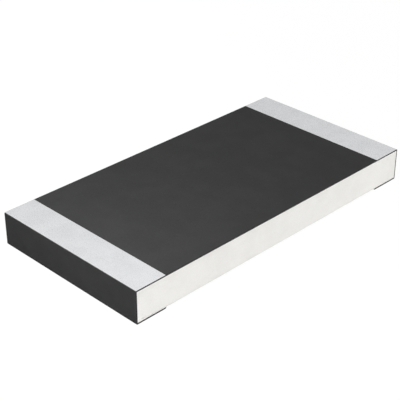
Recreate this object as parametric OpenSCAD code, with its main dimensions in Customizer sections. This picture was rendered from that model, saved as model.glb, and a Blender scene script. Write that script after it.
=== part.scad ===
// Thick-film chip resistor, case size 2512 (6332 metric).
//
// A ceramic substrate carries two printed silver electrodes and, between them,
// a trimmed resistive film under glass and a black overcoat. Each end is wrapped
// from the top face round to the underside by an end film, a nickel barrier and
// tin plating. The tin is flush with the overcoat and stands below the ceramic,
// so that the chip rests on its two solder pads.
//
// Millimetres. X runs along the length and Z is up. The origin is the centre of
// the plane that the solder pads rest on.

/* [Chip] */
// Overall length, over both terminations
chip_length = 6.3; // [5.6:0.05:7]
// Overall width
chip_width = 3.15; // [2.8:0.05:3.5]
// Overall height, from the solder pads to the top of the bands
chip_height = 0.6; // [0.45:0.01:0.8]

/* [Terminations] */
// Length of each bright band on the top face
top_band = 0.6; // [0.4:0.05:0.8]
// Length of each solder pad on the underside
bottom_band = 0.6; // [0.4:0.05:0.9]
// Thickness of the printed silver on the top and on the underside
electrode_thickness = 0.009; // [0.006:0.001:0.014]
// Thickness of the conducting film over each end of the ceramic
end_film_thickness = 0.007; // [0.005:0.001:0.012]
// Thickness of the nickel barrier
nickel_thickness = 0.007; // [0.005:0.001:0.009]
// Thickness of the tin plating
tin_thickness = 0.009; // [0.007:0.001:0.011]
// Radius of the tin's outer edges, which the layers below follow
edge_radius = 0.02; // [0.018:0.001:0.024]

/* [Resistive film] */
// Thickness of the resistive film
film_thickness = 0.007; // [0.004:0.001:0.008]
// Width of the resistive film
film_width = 2.4; // [1.8:0.1:2.6]
// Length of the film that lies on each electrode
film_overlap = 0.25; // [0.1:0.05:0.4]
// Width of the laser's trim cut
trim_width = 0.05; // [0.03:0.01:0.08]
// How far the trim cut goes in from the side of the film
trim_depth = 0.9; // [0.4:0.1:1.4]
// Length of the trim cut's leg along the film
trim_leg = 1.1; // [0.5:0.1:1.6]

/* [Coatings] */
// Thickness of the glass over the film
glass_thickness = 0.004; // [0.003:0.001:0.006]
// How far the glass reaches past the film on every side
glass_margin = 0.12; // [0.06:0.02:0.18]
// Length of overcoat on each electrode, past the glass
coat_lap = 0.15; // [0.05:0.05:0.3]

/* [Hidden] */
$fn = 48;

// Layers of the terminations, from the outside inwards
plating = tin_thickness + nickel_thickness;
wrap = plating + electrode_thickness;
end_wrap = plating + end_film_thickness;

// The ceramic is what the wrapped layers leave of the chip
ceramic_length = chip_length - 2 * end_wrap;
ceramic_bottom = wrap;
ceramic_top = chip_height - wrap;
electrode_top = ceramic_top + electrode_thickness;
electrode_width = chip_width - 2 * plating;

// Places along the length, each measured from the chip's centre
seam_x = chip_length / 2 - top_band;
glass_x = seam_x - coat_lap;
film_x = glass_x - glass_margin;
electrode_x = film_x - film_overlap;
pad_x = chip_length / 2 - bottom_band;

// The film rises onto the electrodes at riser_x, and the glass a little before it
riser_x = electrode_x - film_thickness;
glass_riser_x = riser_x - glass_thickness;
film_top = electrode_top + film_thickness;

// How far a cutting shape runs past the face that it opens
pass = 0.1;

ceramic_colour = "#EAE9E5";
overcoat_colour = "#3C3C3C";
tin_colour = "#D8D9DB";
nickel_colour = "#A9A59A";
silver_colour = "#C9C7C1";
end_film_colour = "#8E8B87";
film_colour = "#2B2A2C";
glass_colour = "#54663F";

// Layout helpers

// Bar from x0 to x1 and from z0 to z1, centred across the width
module bar(x0, x1, width, z0, z1) {
    translate([x0, -width / 2, z0]) cube([x1 - x0, width, z1 - z0]);
}

// Section drawn in X and Z, extruded across the width
module across(width) {
    translate([0, width / 2, 0]) rotate([90, 0, 0]) linear_extrude(width) children();
}

// A piece drawn for the right-hand end, turned over for the left-hand one
module at_end(side) {
    if (side == "left") mirror([1, 0, 0]) children();
    else children();
}

// Rectangle from its low to its high corner. Each entry of round_at is the
// direction from the middle to a corner that is rounded, such as [1, -1].
module plate(low, high, radius, round_at) {
    middle = (low + high) / 2;
    half = (high - low) / 2;
    corners = [for (way = round_at) middle + [way.x * half.x, way.y * half.y]];
    difference() {
        translate(low) square(high - low);
        for (corner = corners) translate(corner) square(2 * radius, center = true);
    }
    for (i = [0 : len(corners) - 1]) translate(corners[i] - radius * round_at[i]) circle(radius);
}

// Points of the right half of a section, then their mirror images on the left
function both_halves(points) = concat(
    points,
    [for (i = [len(points) - 1 : -1 : 0]) [-points[i].x, points[i].y]]
);

// Sections

module ceramic_section() {
    translate([-ceramic_length / 2, ceramic_bottom])
        square([ceramic_length, ceramic_top - ceramic_bottom]);
}

// Outline of the right-hand termination, filled in, with inset taken off every
// outer face. The upper arm stops at the overcoat, or runs past that seam.
module end_section(inset, past_seam = 0) {
    radius = edge_radius - inset;
    outer_x = chip_length / 2 - inset;
    middle_z = chip_height / 2;
    plate([seam_x - past_seam, middle_z], [outer_x, chip_height - inset], radius, [[1, 1]]);
    plate([pad_x + inset, inset], [outer_x, middle_z], radius, [[1, -1], [-1, -1]]);
}

// Skin that one layer of the termination adds, between its outer and inner inset
module end_layer(outer_inset, inner_inset) {
    difference() {
        across(chip_width - 2 * outer_inset) difference() {
            end_section(outer_inset);
            ceramic_section();
        }
        across(chip_width - 2 * inner_inset) end_section(inner_inset, pass);
    }
}

// The film lies on the ceramic and steps up onto the ends of both electrodes
module film_section() {
    polygon(both_halves([
        [electrode_x, ceramic_top],
        [electrode_x, electrode_top],
        [film_x, electrode_top],
        [film_x, film_top],
        [riser_x, film_top],
        [riser_x, ceramic_top + film_thickness]
    ]));
}

// Outside of the glass where it lies over the film
module glass_jacket_section() {
    polygon(both_halves([
        [film_x + glass_thickness, ceramic_top],
        [film_x + glass_thickness, film_top + glass_thickness],
        [glass_riser_x, film_top + glass_thickness],
        [glass_riser_x, ceramic_top + film_thickness + glass_thickness]
    ]));
}

// Outside of the glass where it lies on the ceramic and the electrodes
module glass_skirt_section() {
    polygon(both_halves([
        [glass_x, ceramic_top],
        [glass_x, electrode_top + glass_thickness],
        [electrode_x - glass_thickness, electrode_top + glass_thickness],
        [electrode_x - glass_thickness, ceramic_top + glass_thickness]
    ]));
}

// Path of the trim cut: in from the side of the film, then along it
module trim_cut() {
    turn_y = -film_width / 2 + trim_depth;
    start_y = -film_width / 2 - glass_margin - pass;
    translate([0, 0, ceramic_top - pass]) linear_extrude(wrap + pass) {
        translate([-trim_leg / 2, start_y]) square([trim_width, turn_y - start_y]);
        translate([-trim_leg / 2, turn_y - trim_width]) square([trim_leg, trim_width]);
    }
}

// Pieces

module ceramic_substrate() {
    color(ceramic_colour) across(chip_width) ceramic_section();
}

module top_electrode(side) {
    color(silver_colour) at_end(side)
        bar(electrode_x, ceramic_length / 2, electrode_width, ceramic_top, electrode_top);
}

// The part of the wrapped core that lies under the ceramic
module bottom_electrode(side) {
    color(silver_colour) at_end(side) across(electrode_width) intersection() {
        end_section(plating);
        square([ceramic_length / 2, ceramic_bottom]);
    }
}

// The part of the wrapped core past the end of the ceramic, which joins the
// two printed electrodes
module end_film(side) {
    color(end_film_colour) at_end(side) across(electrode_width) intersection() {
        end_section(plating);
        translate([ceramic_length / 2, 0]) square([end_wrap, chip_height]);
    }
}

module resistive_film() {
    color(film_colour) difference() {
        across(film_width) film_section();
        trim_cut();
    }
}

module glass_layer() {
    color(glass_colour) difference() {
        union() {
            across(film_width + 2 * glass_thickness) glass_jacket_section();
            across(film_width + 2 * glass_margin) glass_skirt_section();
        }
        across(film_width) film_section();
        for (side = ["left", "right"]) top_electrode(side);
        trim_cut();
    }
}

// Fills the trim cut and covers everything between the two bands
module black_overcoat() {
    color(overcoat_colour) difference() {
        bar(-seam_x, seam_x, chip_width, ceramic_top, chip_height);
        for (side = ["left", "right"]) top_electrode(side);
        resistive_film();
        glass_layer();
    }
}

module nickel_barrier(side) {
    color(nickel_colour) at_end(side) end_layer(tin_thickness, plating);
}

module tin_plating(side) {
    color(tin_colour) at_end(side) end_layer(0, tin_thickness);
}

ceramic_substrate();
top_electrode("left");  // left_top_electrode
top_electrode("right");  // right_top_electrode
bottom_electrode("left");  // left_bottom_electrode
bottom_electrode("right");  // right_bottom_electrode
end_film("left");  // left_end_film
end_film("right");  // right_end_film
resistive_film();
glass_layer();
black_overcoat();
nickel_barrier("left");  // left_nickel_barrier
nickel_barrier("right");  // right_nickel_barrier
tin_plating("left");  // left_tin_plating
tin_plating("right");  // right_tin_plating
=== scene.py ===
import math

import bmesh
import bpy
from bpy.props import FloatProperty, FloatVectorProperty, IntProperty, PointerProperty
from bpy.types import Operator, Panel, PropertyGroup
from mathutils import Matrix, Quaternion, Vector


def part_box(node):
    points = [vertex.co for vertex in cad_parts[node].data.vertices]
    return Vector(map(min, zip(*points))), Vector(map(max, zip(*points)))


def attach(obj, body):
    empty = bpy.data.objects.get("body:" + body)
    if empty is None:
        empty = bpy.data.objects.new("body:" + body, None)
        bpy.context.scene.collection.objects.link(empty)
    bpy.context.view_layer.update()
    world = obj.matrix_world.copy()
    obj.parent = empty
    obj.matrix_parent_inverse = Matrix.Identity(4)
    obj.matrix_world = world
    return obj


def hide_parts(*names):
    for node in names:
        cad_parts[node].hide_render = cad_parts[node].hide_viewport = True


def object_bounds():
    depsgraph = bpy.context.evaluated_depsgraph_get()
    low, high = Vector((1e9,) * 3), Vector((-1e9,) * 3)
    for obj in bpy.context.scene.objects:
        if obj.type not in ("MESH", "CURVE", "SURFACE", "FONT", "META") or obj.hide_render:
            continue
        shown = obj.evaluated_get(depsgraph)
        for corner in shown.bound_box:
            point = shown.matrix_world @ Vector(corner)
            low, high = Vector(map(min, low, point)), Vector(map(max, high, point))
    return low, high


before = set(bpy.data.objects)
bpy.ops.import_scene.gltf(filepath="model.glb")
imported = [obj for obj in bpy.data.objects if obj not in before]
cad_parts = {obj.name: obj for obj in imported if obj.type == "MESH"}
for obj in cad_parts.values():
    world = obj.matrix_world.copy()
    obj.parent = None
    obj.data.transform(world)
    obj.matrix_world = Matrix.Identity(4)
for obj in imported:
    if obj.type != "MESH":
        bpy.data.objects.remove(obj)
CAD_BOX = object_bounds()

bl_info = {
    "name": "Chip Resistor",
    "version": (1, 0, 0),
    "blender": (4, 5, 0),
    "location": "3D View > Sidebar > Chip Resistor",
    "description": "Models and finishes the layers of a thick-film chip resistor, and sets up its studio",
    "category": "Object",
}

# The layers are a few micrometres thick, so the pieces are modelled with one unit
# to the millimetre and brought to metres at the end.
UNITS_PER_METRE = 1000.0

# In those units: points nearer than this are one point, or lie on the same plane
SAME_PLACE = 0.0002

# Faces that turn less than this from one to the next are one flat face
FLAT_ANGLE = math.radians(0.5)

# Edges that turn less than this are shaded smooth
SMOOTH_ANGLE = math.radians(35)

# Weight of large faces in the shading of the rounded edges beside them, where 100 is the most
LARGE_FACE_WEIGHT = 100

# Profile of a bevel whose section is an arc of a circle
ROUND_PROFILE = 0.5

# Tin turns from upright to lying flat between these heights of its unit normal; the upright tin is painted
# dark, a painted shade in place of the dark surround it would mirror
UPRIGHT_NORMAL = 0.78
LYING_NORMAL = 0.95

# Steps between the columns and the rows of nodes in the node editor
NODE_STEP = 220

# Noise below the first value shows plain colour, and above the second it shows patches
PATCH_START = 0.35
PATCH_FULL = 0.65

# Finer layers in the noise of the patches and of the swell
PATCH_DETAIL = 4.0
SWELL_DETAIL = 1.0

# The floor reflects this share of the light, and glows so that with its matt share it is white
FLOOR_WHITE = (0.9, 0.9, 0.9, 1.0)
FLOOR_STRENGTH = 1.04

# Width of the camera's sensor in millimetres, and the range that it sees in metres
SENSOR_WIDTH = 36.0
NEAREST_SEEN = 0.001
FARTHEST_SEEN = 10.0

# Places that the pieces share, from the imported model, in modelling units
CERAMIC_LOW, CERAMIC_HIGH = (corner * UNITS_PER_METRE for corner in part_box("ceramic_substrate"))
COAT_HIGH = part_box("black_overcoat")[1] * UNITS_PER_METRE
HALF_WIDTH = COAT_HIGH.y
SEAM_X = COAT_HIGH.x
TOP_Z = COAT_HIGH.z


# Properties


def length_value(name, description, default):
    return FloatProperty(
        name=name,
        description=description,
        default=default,
        min=0.0,
        precision=6,
        unit="LENGTH",
        subtype="DISTANCE",
    )


def angle_value(name, description, degrees):
    return FloatProperty(
        name=name,
        description=description,
        default=math.radians(degrees),
        unit="ROTATION",
        subtype="ANGLE",
    )


def share_value(name, description, default):
    return FloatProperty(
        name=name,
        description=description,
        default=default,
        min=0.0,
        max=1.0,
        subtype="FACTOR",
    )


def brightness_value(name, description, default):
    return FloatProperty(name=name, description=description, default=default, min=0.0)


def colour_value(name, description, default):
    return FloatVectorProperty(
        name=name,
        description=description,
        default=default,
        size=3,
        min=0.0,
        max=1.0,
        subtype="COLOR",
    )


def place_value(name, description, default):
    return FloatVectorProperty(
        name=name,
        description=description,
        default=default,
        size=3,
        precision=6,
        unit="LENGTH",
        subtype="TRANSLATION",
    )


class ChipShape(PropertyGroup):
    ceramic_edge: length_value("Ceramic edge", "Width of the break along the ceramic's lower edges", 6e-6)
    coat_edge: length_value("Overcoat edge", "Width of the rounding round the overcoat's face", 5e-6)
    tin_edge: length_value("Tin edge", "Width of the rounding round the tin's sides and seams", 3e-6)
    edge_steps: IntProperty(
        name="Edge steps", description="Faces across each rounded edge", default=3, min=1, max=8
    )


class ChipColours(PropertyGroup):
    ceramic: colour_value("Ceramic", "Alumina of the substrate", (0.83, 0.822, 0.795))
    ceramic_patch: colour_value("Ceramic patches", "Warmer patches in the alumina", (0.80, 0.79, 0.76))
    overcoat: colour_value("Overcoat", "Dark resin of the face", (0.0432, 0.0432, 0.0432))
    overcoat_patch: colour_value("Overcoat patches", "Paler patches in the resin", (0.0467, 0.0467, 0.0467))
    tin: colour_value("Tin", "Tin on the bands and the solder pads", (0.515, 0.52, 0.53))
    tin_patch: colour_value("Tin patches", "Clouding of the tin", (0.49, 0.495, 0.505))
    # Painted shade: the tin's ends and rims get this dark colour in place of the dark surround their metal
    # would mirror
    tin_upright_painted_shade: colour_value("Upright tin", "Dull tin on the ends and rims", (0.0455, 0.0455, 0.0455))
    nickel: colour_value("Nickel", "Barrier under the tin", (0.40, 0.38, 0.33))
    silver: colour_value("Silver", "Printed electrodes", (0.58, 0.57, 0.53))
    end_film: colour_value("End film", "Conductor over the ends of the ceramic", (0.27, 0.26, 0.24))
    resistive_film: colour_value("Resistive film", "Printed resistor", (0.030, 0.029, 0.031))
    glass: colour_value("Glass", "Glaze over the resistive film", (0.09, 0.13, 0.05))


class ChipStage(PropertyGroup):
    camera_place: place_value("Camera place", "Where the camera stands", (-0.011822, -0.011527, 0.009732))
    camera_heading: angle_value("Camera heading", "Direction of view, clockwise from +Y", 45.085)
    camera_tilt: angle_value("Camera tilt", "Direction of view, down from level", 30.027)
    camera_roll: angle_value("Camera roll", "Turn of the camera about its line of view", 0.09)
    camera_lens: FloatProperty(
        name="Camera lens", description="Focal length on the sensor", default=99.94, min=1.0, unit="CAMERA"
    )
    floor_width: length_value("Floor width", "Width and depth of the floor", 0.6)
    floor_glow: share_value("Floor glow", "Share of the floor near the chip that takes no shadow", 0.9)
    floor_near: length_value("Floor near", "How far from the chip the floor starts to lose shadow", 0.006)
    floor_far: length_value("Floor far", "How far from the chip the floor is plain white", 0.03)
    surround: share_value("Surround", "Brightness of the white surround on matt surfaces", 0.2)
    card_place: place_value("Card place", "Where the card is that the bands mirror", (0.0101, 0.0101, 0.032))
    card_width: length_value("Card width", "Width and depth of the card", 0.044)
    card_brightness: brightness_value("Card brightness", "How much brighter than white the card is", 0.75)
    side_place: place_value("Side place", "Where the lamp for the long side is", (0.022, -0.024, 0.007))
    side_width: length_value("Side width", "Width and depth of the side lamp", 0.03)
    side_brightness: brightness_value("Side brightness", "Brightness of the side lamp, where 1 is white", 4.4)
    rear_place: place_value("Rear place", "Where the lamp for the other long side is", (-0.002, 0.016, 0.007))
    rear_width: length_value("Rear width", "Width and depth of the rear lamp", 0.014)
    rear_brightness: brightness_value("Rear brightness", "Brightness of the rear lamp, where 1 is white", 2.7)
    end_place: place_value("End place", "Where the lamp for the left end is", (-0.005, -0.0008, 0.005))
    end_width: length_value("End width", "Width and depth of the end lamp", 0.002)
    end_brightness: brightness_value("End brightness", "Brightness of the end lamp, where 1 is white", 22.5)


# Modelling


def deselect_all():
    active = bpy.context.view_layer.objects.active
    if active and active.mode != "OBJECT":
        bpy.ops.object.mode_set(mode="OBJECT")
    bpy.ops.object.select_all(action="DESELECT")


def make_active(piece):
    deselect_all()
    piece.select_set(True)
    bpy.context.view_layer.objects.active = piece


def resize(piece, factor):
    """Scales a piece about the origin and puts its place and size into its mesh."""
    make_active(piece)
    bpy.ops.object.transform_apply(location=True, rotation=True, scale=True)
    piece.scale = (factor, factor, factor)
    bpy.ops.object.transform_apply(location=True, rotation=True, scale=True)


def block(name, low, high):
    """New piece that starts as a block between two corners, left in edit mode."""
    deselect_all()
    bpy.ops.mesh.primitive_cube_add(size=1.0, location=(low + high) / 2, scale=high - low)
    piece = bpy.context.view_layer.objects.active
    piece.name = name
    piece.data.name = name
    bpy.ops.object.transform_apply(location=True, rotation=True, scale=True)
    bpy.ops.object.mode_set(mode="EDIT")
    return piece


def layer_copy(name, node):
    """New piece that starts as a CAD layer's mesh, merged into flat faces, left in edit mode."""
    deselect_all()
    piece = bpy.data.objects.new(name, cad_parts[node].data.copy())
    bpy.context.scene.collection.objects.link(piece)
    piece.data.name = name
    piece.data.materials.clear()
    resize(piece, UNITS_PER_METRE)
    bpy.ops.mesh.customdata_custom_splitnormals_clear()
    bpy.ops.object.mode_set(mode="EDIT")
    bpy.ops.mesh.select_all(action="SELECT")
    bpy.ops.mesh.remove_doubles(threshold=SAME_PLACE)
    bpy.ops.mesh.dissolve_limited(angle_limit=FLAT_ANGLE)
    return piece


def same(a, b):
    return abs(a - b) < SAME_PLACE


def round_edges(piece, width, steps, wanted):
    """Rounds the edges for which wanted says yes to the places of both ends."""
    bpy.ops.mesh.select_mode(type="EDGE")
    bpy.ops.mesh.select_all(action="DESELECT")
    mesh = bmesh.from_edit_mesh(piece.data)
    found = [edge for edge in mesh.edges if wanted(*(point.co for point in edge.verts))]
    if not found:
        raise RuntimeError(f"The piece {piece.name} has no edge to round")
    for edge in found:
        edge.select_set(True)
    bmesh.update_edit_mesh(piece.data)
    bpy.ops.mesh.bevel(
        offset=width * UNITS_PER_METRE, segments=steps, profile=ROUND_PROFILE, affect="EDGES"
    )


def complete(piece, material, node):
    """Shades a modelled piece, brings it to metres and puts it in the place of its CAD layer."""
    make_active(piece)
    bpy.ops.object.shade_smooth_by_angle(angle=SMOOTH_ANGLE)
    level = piece.modifiers.new("level_faces", "WEIGHTED_NORMAL")
    level.mode = "FACE_AREA"
    level.weight = LARGE_FACE_WEIGHT
    level.keep_sharp = True
    bpy.ops.object.modifier_apply(modifier=level.name)
    resize(piece, 1.0 / UNITS_PER_METRE)
    piece.data.materials.append(material)
    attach(piece, "root")
    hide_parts(node)


def on_lower_long_edge(a, b):
    """True along the ceramic's two lower edges that no layer covers."""
    return same(a.z, CERAMIC_LOW.z) and same(b.z, CERAMIC_LOW.z) and same(a.y, b.y)


def on_coat_face(a, b):
    """True round the overcoat's face."""
    return same(a.z, TOP_Z) and same(b.z, TOP_Z)


def on_tin_rim(a, b):
    """True on the outer line of a termination's sides, and where its face meets the overcoat."""
    middle = (a + b) / 2
    on_seam = same(abs(a.x), SEAM_X) and same(abs(b.x), SEAM_X)
    if same(a.z, TOP_Z) and same(b.z, TOP_Z) and on_seam:
        return True
    on_side = same(abs(a.y), HALF_WIDTH) and same(a.y, b.y)
    on_ceramic = (
        same(middle.z, CERAMIC_LOW.z) or same(middle.z, CERAMIC_HIGH.z) or same(abs(middle.x), CERAMIC_HIGH.x)
    )
    return on_side and not on_ceramic and not (on_seam and middle.z > CERAMIC_HIGH.z)


# Node groups


def add_node(tree, kind, column, row, **settings):
    node = tree.nodes.new(kind)
    node.location = (NODE_STEP * column, -NODE_STEP * row)
    for name, value in settings.items():
        setattr(node, name, value)
    return node


def link(tree, output, target):
    tree.links.new(output, target)


def start_group(name, inputs, outputs):
    """New shader group with its sockets, as (tree, input node, output node)."""
    tree = bpy.data.node_groups.new(name, "ShaderNodeTree")
    for label, kind, value in inputs:
        socket = tree.interface.new_socket(label, in_out="INPUT", socket_type=kind)
        socket.default_value = value
    for label, kind in outputs:
        tree.interface.new_socket(label, in_out="OUTPUT", socket_type=kind)
    return tree, add_node(tree, "NodeGroupInput", 0, 0), add_node(tree, "NodeGroupOutput", 6, 0)


def texture(tree, kind, column, row, size):
    """Texture on Object coordinates whose features have the size that a socket gives, in metres."""
    coordinates = add_node(tree, "ShaderNodeTexCoord", column, row)
    scale = add_node(tree, "ShaderNodeMath", column, row + 1, operation="DIVIDE")
    scale.inputs[0].default_value = 1.0
    node = add_node(tree, kind, column + 1, row)
    link(tree, size, scale.inputs[1])
    link(tree, coordinates.outputs["Object"], node.inputs["Vector"])
    link(tree, scale.outputs[0], node.inputs["Scale"])
    return node


def colour_mix(tree, column, row, blend_type="MIX"):
    """Mix of two colours, as (node, first colour, second colour, result)."""
    node = add_node(tree, "ShaderNodeMix", column, row, data_type="RGBA", blend_type=blend_type)
    first, second = (socket for socket in node.inputs if socket.type == "RGBA")
    result = next(socket for socket in node.outputs if socket.type == "RGBA")
    return node, first, second, result


def soft_patches():
    """Group that mingles two colours in soft patches."""
    name = "Soft Patches"
    if name in bpy.data.node_groups:
        return bpy.data.node_groups[name]
    tree, given, result = start_group(
        name,
        [
            ("Colour", "NodeSocketColor", (0.5, 0.5, 0.5, 1.0)),
            ("Patch Colour", "NodeSocketColor", (0.4, 0.4, 0.4, 1.0)),
            ("Patch Size", "NodeSocketFloat", 0.0003),
        ],
        [("Colour", "NodeSocketColor")],
    )
    cloud = texture(tree, "ShaderNodeTexNoise", 1, 0, given.outputs["Patch Size"])
    cloud.inputs["Detail"].default_value = PATCH_DETAIL
    spread = add_node(tree, "ShaderNodeMapRange", 3, 0, interpolation_type="SMOOTHSTEP")
    spread.inputs["From Min"].default_value = PATCH_START
    spread.inputs["From Max"].default_value = PATCH_FULL
    blend, base, patch, mixed = colour_mix(tree, 4, 0)
    link(tree, cloud.outputs["Fac"], spread.inputs["Value"])
    link(tree, spread.outputs["Result"], blend.inputs["Factor"])
    link(tree, given.outputs["Colour"], base)
    link(tree, given.outputs["Patch Colour"], patch)
    link(tree, mixed, result.inputs["Colour"])
    return tree


def grained_surface():
    """Group of small domed grains on a gentle swell, with a tone and a number from 0 to 1 for each grain."""
    name = "Grained Surface"
    if name in bpy.data.node_groups:
        return bpy.data.node_groups[name]
    tree, given, result = start_group(
        name,
        [
            ("Grain Size", "NodeSocketFloat", 0.00002),
            ("Grain Depth", "NodeSocketFloat", 0.000001),
            ("Swell Size", "NodeSocketFloat", 0.0004),
            ("Swell Depth", "NodeSocketFloat", 0.000001),
            ("Tone Spread", "NodeSocketFloat", 0.05),
        ],
        [("Normal", "NodeSocketVector"), ("Tone", "NodeSocketFloat"), ("Grain", "NodeSocketFloat")],
    )
    grains = texture(tree, "ShaderNodeTexVoronoi", 1, 0, given.outputs["Grain Size"])
    swell = texture(tree, "ShaderNodeTexNoise", 1, 2, given.outputs["Swell Size"])
    swell.inputs["Detail"].default_value = SWELL_DETAIL
    dip = add_node(tree, "ShaderNodeMath", 3, 0, operation="MULTIPLY")
    rise = add_node(tree, "ShaderNodeMath", 3, 2, operation="MULTIPLY")
    height = add_node(tree, "ShaderNodeMath", 4, 1, operation="SUBTRACT")
    bump = add_node(tree, "ShaderNodeBump", 5, 1)
    bump.inputs["Strength"].default_value = 1.0
    bump.inputs["Distance"].default_value = 1.0
    # The number of a grain runs from 0 to 1, and its tone is 1 where that number is a half
    parts = add_node(tree, "ShaderNodeSeparateColor", 3, -2)
    around = add_node(tree, "ShaderNodeMath", 4, -2, operation="SUBTRACT")
    around.inputs[1].default_value = 0.5
    tone = add_node(tree, "ShaderNodeMath", 5, -2, operation="MULTIPLY_ADD")
    tone.inputs[2].default_value = 1.0
    link(tree, grains.outputs["Distance"], dip.inputs[0])
    link(tree, given.outputs["Grain Depth"], dip.inputs[1])
    link(tree, swell.outputs["Fac"], rise.inputs[0])
    link(tree, given.outputs["Swell Depth"], rise.inputs[1])
    link(tree, rise.outputs[0], height.inputs[0])
    link(tree, dip.outputs[0], height.inputs[1])
    link(tree, height.outputs[0], bump.inputs["Height"])
    link(tree, bump.outputs["Normal"], result.inputs["Normal"])
    link(tree, grains.outputs["Color"], parts.inputs["Color"])
    link(tree, parts.outputs["Red"], around.inputs[0])
    link(tree, around.outputs[0], tone.inputs[0])
    link(tree, given.outputs["Tone Spread"], tone.inputs[1])
    link(tree, tone.outputs[0], result.inputs["Tone"])
    link(tree, parts.outputs["Red"], result.inputs["Grain"])
    return tree


# Finishes


def place_group(tree, group, column, row, values):
    """Puts a group into a material with its own values for the sockets."""
    node = add_node(tree, "ShaderNodeGroup", column, row, node_tree=group)
    for label, value in values.items():
        node.inputs[label].default_value = value
    return node


def grain(size, depth, swell_size, swell_depth, tone_spread):
    """Values for a grained surface: lengths in metres, and how far the grains differ in tone."""
    return {
        "Grain Size": size,
        "Grain Depth": depth,
        "Swell Size": swell_size,
        "Swell Depth": swell_depth,
        "Tone Spread": tone_spread,
    }


def opaque(rgb):
    return (*rgb, 1.0)


def darker(rgb, by):
    return tuple(part * by for part in rgb)


def clouded(tree, column, row, base, patch, size):
    """Colour output of soft patches of two colours, each about that size."""
    values = {"Colour": opaque(base), "Patch Colour": opaque(patch), "Patch Size": size}
    return place_group(tree, soft_patches(), column, row, values).outputs["Colour"]


def grained_finish(name, surface, roughness, metallic=0.0):
    """Material whose grains differ a little in tone and gloss, as (material, socket for its colour)."""
    material = bpy.data.materials.new(name)
    material.use_nodes = True
    tree = material.node_tree
    shader = tree.nodes["Principled BSDF"]
    shader.inputs["Metallic"].default_value = metallic
    grains = place_group(tree, grained_surface(), -4, 2, surface)
    toned, plain, tone, result = colour_mix(tree, -2, 0, "MULTIPLY")
    toned.inputs["Factor"].default_value = 1.0
    smoothest, roughest = roughness
    rough = add_node(tree, "ShaderNodeMapRange", -2, 1)
    rough.inputs["To Min"].default_value = smoothest
    rough.inputs["To Max"].default_value = roughest
    link(tree, grains.outputs["Tone"], tone)
    link(tree, result, shader.inputs["Base Color"])
    link(tree, grains.outputs["Grain"], rough.inputs["Value"])
    link(tree, rough.outputs["Result"], shader.inputs["Roughness"])
    link(tree, grains.outputs["Normal"], shader.inputs["Normal"])
    return material, plain


def layer_finish(name, base, patch, patch_size, surface, roughness, metallic=0.0):
    """Grained material that is clouded with two colours."""
    material, plain = grained_finish(name, surface, roughness, metallic)
    tree = material.node_tree
    link(tree, clouded(tree, -4, 0, base, patch, patch_size), plain)
    return material


def ceramic_finish(colours):
    return layer_finish(
        "fired_alumina",
        base=colours.ceramic,
        patch=colours.ceramic_patch,
        patch_size=3.5e-4,
        surface=grain(size=9e-6, depth=0.8e-6, swell_size=2e-4, swell_depth=1e-6, tone_spread=0.07),
        roughness=(0.5, 0.65),
    )


def overcoat_finish(colours):
    material = layer_finish(
        "cured_overcoat",
        base=colours.overcoat,
        patch=colours.overcoat_patch,
        patch_size=4e-4,
        surface=grain(size=8e-6, depth=0.6e-6, swell_size=2.5e-4, swell_depth=1.5e-6, tone_spread=0.25),
        roughness=(0.7, 0.9),
    )
    shader = material.node_tree.nodes["Principled BSDF"]
    shader.inputs["Specular IOR Level"].default_value = 0.03
    return material


def tin_finish(colours):
    """Bright satin tin where it lies flat, and painted shade where it stands upright: a dark matt colour in
    place of the dark surround that upright tin would mirror.
    """
    material, plain = grained_finish(
        "satin_tin",
        surface=grain(size=8e-6, depth=0.4e-6, swell_size=1.5e-4, swell_depth=0.4e-6, tone_spread=0.09),
        roughness=(0.26, 0.34),
    )
    tree = material.node_tree
    shader = tree.nodes["Principled BSDF"]
    shader.inputs["Specular IOR Level"].default_value = 0.0
    bright = clouded(tree, -5, 0, base=colours.tin, patch=colours.tin_patch, size=3e-4)
    # The upright tin is painted dark, with slightly darker patches, as painted shade in place of a dark
    # reflection
    cloud = darker(colours.tin_upright_painted_shade, by=0.92)
    painted_shade_upright = clouded(tree, -5, 1, base=colours.tin_upright_painted_shade, patch=cloud, size=3e-4)
    coordinates = add_node(tree, "ShaderNodeTexCoord", -7, -1)
    parts = add_node(tree, "ShaderNodeSeparateXYZ", -6, -1)
    upward = add_node(tree, "ShaderNodeMath", -5, -1, operation="ABSOLUTE")
    flatness = add_node(tree, "ShaderNodeMapRange", -4, -1, interpolation_type="SMOOTHSTEP")
    flatness.inputs["From Min"].default_value = UPRIGHT_NORMAL
    flatness.inputs["From Max"].default_value = LYING_NORMAL
    blend, upright, lying, result = colour_mix(tree, -3, 0)
    link(tree, coordinates.outputs["Normal"], parts.inputs["Vector"])
    link(tree, parts.outputs["Z"], upward.inputs[0])
    link(tree, upward.outputs[0], flatness.inputs["Value"])
    link(tree, flatness.outputs["Result"], blend.inputs["Factor"])
    link(tree, painted_shade_upright, upright)
    link(tree, bright, lying)
    link(tree, result, plain)
    # Upright faces are matt, so their painted shade stays dark under any lamp
    link(tree, flatness.outputs["Result"], shader.inputs["Metallic"])
    return material


def metal_finish(name, base):
    return layer_finish(
        name,
        base=base,
        patch=darker(base, by=0.86),
        patch_size=2e-4,
        surface=grain(size=8e-6, depth=0.5e-6, swell_size=1.5e-4, swell_depth=0.5e-6, tone_spread=0.12),
        roughness=(0.34, 0.5),
        metallic=1.0,
    )


def film_finish(colours):
    return layer_finish(
        "resistive_paste",
        base=colours.resistive_film,
        patch=darker(colours.resistive_film, by=0.7),
        patch_size=1.5e-4,
        surface=grain(size=1e-5, depth=0.5e-6, swell_size=2e-4, swell_depth=0.5e-6, tone_spread=0.3),
        roughness=(0.4, 0.55),
    )


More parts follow.
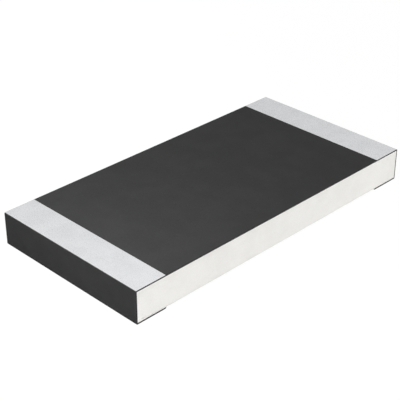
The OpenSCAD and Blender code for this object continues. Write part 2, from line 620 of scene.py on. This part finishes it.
def glass_finish(colours):
    material = layer_finish(
        "green_glaze",
        base=colours.glass,
        patch=darker(colours.glass, by=0.8),
        patch_size=4e-4,
        surface=grain(size=4e-5, depth=0.1e-6, swell_size=3e-4, swell_depth=0.5e-6, tone_spread=0.08),
        roughness=(0.1, 0.18),
    )
    shader = material.node_tree.nodes["Principled BSDF"]
    shader.inputs["Transmission Weight"].default_value = 0.6
    shader.inputs["IOR"].default_value = 1.52
    return material


# Stage


def add_lamp(name, place, width, brightness, mirrored):
    """Square lamp that faces the chip, with a face of that brightness where 1 is white.

    One that is mirrored only shows in gloss and metal, and the others only light matt surfaces.
    """
    deselect_all()
    bpy.ops.object.light_add(type="AREA", location=place)
    lamp = bpy.context.view_layer.objects.active
    lamp.name = name
    lamp.rotation_euler = (-Vector(place)).to_track_quat("-Z", "Y").to_euler()
    lamp.data.shape = "SQUARE"
    lamp.data.size = width
    lamp.data.energy = brightness * math.pi * width * width
    lamp.visible_camera = False
    lamp.visible_glossy = mirrored
    lamp.visible_diffuse = not mirrored


def add_camera(stage):
    deselect_all()
    bpy.ops.object.camera_add(location=stage.camera_place)
    camera = bpy.context.view_layer.objects.active
    camera.name = "camera"
    turn = Quaternion((0, 0, 1), -stage.camera_heading)
    tilt = Quaternion((1, 0, 0), math.pi / 2 - stage.camera_tilt)
    roll = Quaternion((0, 0, 1), stage.camera_roll)
    camera.rotation_mode = "QUATERNION"
    camera.rotation_quaternion = turn @ tilt @ roll
    camera.data.sensor_width = SENSOR_WIDTH
    camera.data.lens = stage.camera_lens
    camera.data.clip_start = NEAREST_SEEN
    camera.data.clip_end = FARTHEST_SEEN
    bpy.context.scene.camera = camera


def seen_directly(tree, column, row):
    """Value that is 1 for what the camera sees, also mirrored or through glass, and 0 for other light."""
    path = add_node(tree, "ShaderNodeLightPath", column, row)
    mirrored = add_node(tree, "ShaderNodeMath", column + 1, row, operation="MAXIMUM")
    through = add_node(tree, "ShaderNodeMath", column + 2, row, operation="MAXIMUM")
    link(tree, path.outputs["Is Camera Ray"], mirrored.inputs[0])
    link(tree, path.outputs["Is Glossy Ray"], mirrored.inputs[1])
    link(tree, mirrored.outputs[0], through.inputs[0])
    link(tree, path.outputs["Is Transmission Ray"], through.inputs[1])
    return through.outputs[0]


def add_surround(stage):
    """White surround, which lights matt surfaces less than it shows."""
    world = bpy.data.worlds.new("surround")
    bpy.context.scene.world = world
    world.use_nodes = True
    tree = world.node_tree
    background = tree.nodes["Background"]
    background.inputs["Color"].default_value = (1.0, 1.0, 1.0, 1.0)
    strength = add_node(tree, "ShaderNodeMapRange", -1, 0)
    strength.inputs["To Min"].default_value = stage.surround
    strength.inputs["To Max"].default_value = 1.0
    link(tree, seen_directly(tree, -4, 0), strength.inputs["Value"])
    link(tree, strength.outputs["Result"], background.inputs["Strength"])


def floor_finish(stage):
    """White floor that shows the chip's shadow faintly, and is plain white away from the chip."""
    material = bpy.data.materials.new("white_floor")
    material.use_nodes = True
    tree = material.node_tree
    tree.nodes.remove(tree.nodes["Principled BSDF"])
    matt = add_node(tree, "ShaderNodeBsdfDiffuse", -1, 0)
    matt.inputs["Color"].default_value = FLOOR_WHITE
    glow = add_node(tree, "ShaderNodeEmission", -1, 1)
    glow.inputs["Strength"].default_value = FLOOR_STRENGTH
    coordinates = add_node(tree, "ShaderNodeTexCoord", -4, 1)
    distance = add_node(tree, "ShaderNodeVectorMath", -3, 1, operation="LENGTH")
    plain = add_node(tree, "ShaderNodeMapRange", -2, 1, interpolation_type="SMOOTHSTEP")
    plain.inputs["From Min"].default_value = stage.floor_near
    plain.inputs["From Max"].default_value = stage.floor_far
    plain.inputs["To Min"].default_value = stage.floor_glow
    plain.inputs["To Max"].default_value = 1.0
    amount = add_node(tree, "ShaderNodeMath", -1, -1, operation="MULTIPLY")
    blend = add_node(tree, "ShaderNodeMixShader", 0, 0)
    link(tree, coordinates.outputs["Object"], distance.inputs[0])
    link(tree, distance.outputs["Value"], plain.inputs["Value"])
    link(tree, seen_directly(tree, -4, -1), amount.inputs[0])
    link(tree, plain.outputs["Result"], amount.inputs[1])
    link(tree, amount.outputs[0], blend.inputs["Fac"])
    link(tree, matt.outputs["BSDF"], blend.inputs[1])
    link(tree, glow.outputs["Emission"], blend.inputs[2])
    link(tree, blend.outputs["Shader"], tree.nodes["Material Output"].inputs["Surface"])
    material.cycles.emission_sampling = "NONE"
    return material


def add_floor(stage):
    deselect_all()
    bpy.ops.mesh.primitive_plane_add(size=stage.floor_width, location=(0.0, 0.0, CAD_BOX[0].z))
    floor = bpy.context.view_layer.objects.active
    floor.name = "floor"
    floor.data.materials.append(floor_finish(stage))


# Operators


class CHIP_RESISTOR_OT_ceramic(Operator):
    """Model the ceramic plate, with its free lower edges broken"""

    bl_idname = "chip_resistor.ceramic"
    bl_label = "Ceramic"
    bl_options = {"REGISTER", "UNDO"}

    def execute(self, context):
        shape = context.scene.chip_shape
        piece = block("ceramic_plate", CERAMIC_LOW, CERAMIC_HIGH)
        round_edges(piece, shape.ceramic_edge, shape.edge_steps, on_lower_long_edge)
        complete(piece, ceramic_finish(context.scene.chip_colours), "ceramic_substrate")
        return {"FINISHED"}


class CHIP_RESISTOR_OT_overcoat(Operator):
    """Model the overcoat, with its face rounded at the edges"""

    bl_idname = "chip_resistor.overcoat"
    bl_label = "Overcoat"
    bl_options = {"REGISTER", "UNDO"}

    def execute(self, context):
        shape = context.scene.chip_shape
        piece = layer_copy("overcoat_face", "black_overcoat")
        round_edges(piece, shape.coat_edge, shape.edge_steps, on_coat_face)
        complete(piece, overcoat_finish(context.scene.chip_colours), "black_overcoat")
        return {"FINISHED"}


class CHIP_RESISTOR_OT_terminations(Operator):
    """Model the tin plating of both ends, with its rims rounded"""

    bl_idname = "chip_resistor.terminations"
    bl_label = "Terminations"
    bl_options = {"REGISTER", "UNDO"}

    def execute(self, context):
        shape = context.scene.chip_shape
        material = tin_finish(context.scene.chip_colours)
        for side in ("left", "right"):
            piece = layer_copy(f"{side}_tin_cap", f"{side}_tin_plating")
            round_edges(piece, shape.tin_edge, shape.edge_steps, on_tin_rim)
            complete(piece, material, f"{side}_tin_plating")
        return {"FINISHED"}


class CHIP_RESISTOR_OT_inner_layers(Operator):
    """Finish the layers that the outer ones cover"""

    bl_idname = "chip_resistor.inner_layers"
    bl_label = "Inner layers"
    bl_options = {"REGISTER", "UNDO"}

    def execute(self, context):
        colours = context.scene.chip_colours
        silver = metal_finish("printed_silver", colours.silver)
        finishes = {
            "nickel_barrier": metal_finish("plated_nickel", colours.nickel),
            "top_electrode": silver,
            "bottom_electrode": silver,
            "end_film": metal_finish("end_conductor", colours.end_film),
            "resistive_film": film_finish(colours),
            "glass_layer": glass_finish(colours),
        }
        for kind, finish in finishes.items():
            layers = [node for name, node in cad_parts.items() if name.endswith(kind)]
            if not layers:
                raise RuntimeError(f"The packed model has no {kind}")
            for layer in layers:
                layer.material_slots[0].material = finish
        return {"FINISHED"}


class CHIP_RESISTOR_OT_stage(Operator):
    """Set up the camera, the white floor and surround, the bright card and three lamps"""

    bl_idname = "chip_resistor.stage"
    bl_label = "Stage"
    bl_options = {"REGISTER", "UNDO"}

    def execute(self, context):
        stage = context.scene.chip_stage
        add_camera(stage)
        add_floor(stage)
        add_surround(stage)
        add_lamp("bright_card", stage.card_place, stage.card_width, stage.card_brightness, mirrored=True)
        add_lamp("side_lamp", stage.side_place, stage.side_width, stage.side_brightness, mirrored=False)
        add_lamp("rear_lamp", stage.rear_place, stage.rear_width, stage.rear_brightness, mirrored=False)
        add_lamp("end_lamp", stage.end_place, stage.end_width, stage.end_brightness, mirrored=False)
        context.scene.view_settings.view_transform = "Standard"
        return {"FINISHED"}


class CHIP_RESISTOR_PT_panel(Panel):
    """Sizes, colours and steps of the chip resistor"""

    bl_idname = "CHIP_RESISTOR_PT_panel"
    bl_label = "Chip Resistor"
    bl_space_type = "VIEW_3D"
    bl_region_type = "UI"
    bl_category = "Chip Resistor"

    def draw(self, context):
        layout = self.layout
        for operator in OPERATORS:
            layout.operator(operator.bl_idname)
        for name in PROPERTIES:
            group = getattr(context.scene, name)
            box = layout.box()
            for label in group.__annotations__:
                box.prop(group, label)


# Registration

OPERATORS = (
    CHIP_RESISTOR_OT_ceramic,
    CHIP_RESISTOR_OT_overcoat,
    CHIP_RESISTOR_OT_terminations,
    CHIP_RESISTOR_OT_inner_layers,
    CHIP_RESISTOR_OT_stage,
)
PROPERTIES = {"chip_shape": ChipShape, "chip_colours": ChipColours, "chip_stage": ChipStage}
CLASSES = (*PROPERTIES.values(), *OPERATORS, CHIP_RESISTOR_PT_panel)


def register():
    for cls in CLASSES:
        bpy.utils.register_class(cls)
    for name, group in PROPERTIES.items():
        setattr(bpy.types.Scene, name, PointerProperty(type=group))


def unregister():
    for name in PROPERTIES:
        delattr(bpy.types.Scene, name)
    for cls in reversed(CLASSES):
        bpy.utils.unregister_class(cls)


def main():
    register()
    bpy.ops.chip_resistor.ceramic()
    bpy.ops.chip_resistor.overcoat()
    bpy.ops.chip_resistor.terminations()
    bpy.ops.chip_resistor.inner_layers()
    bpy.ops.chip_resistor.stage()


if __name__ == "__main__":
    main()
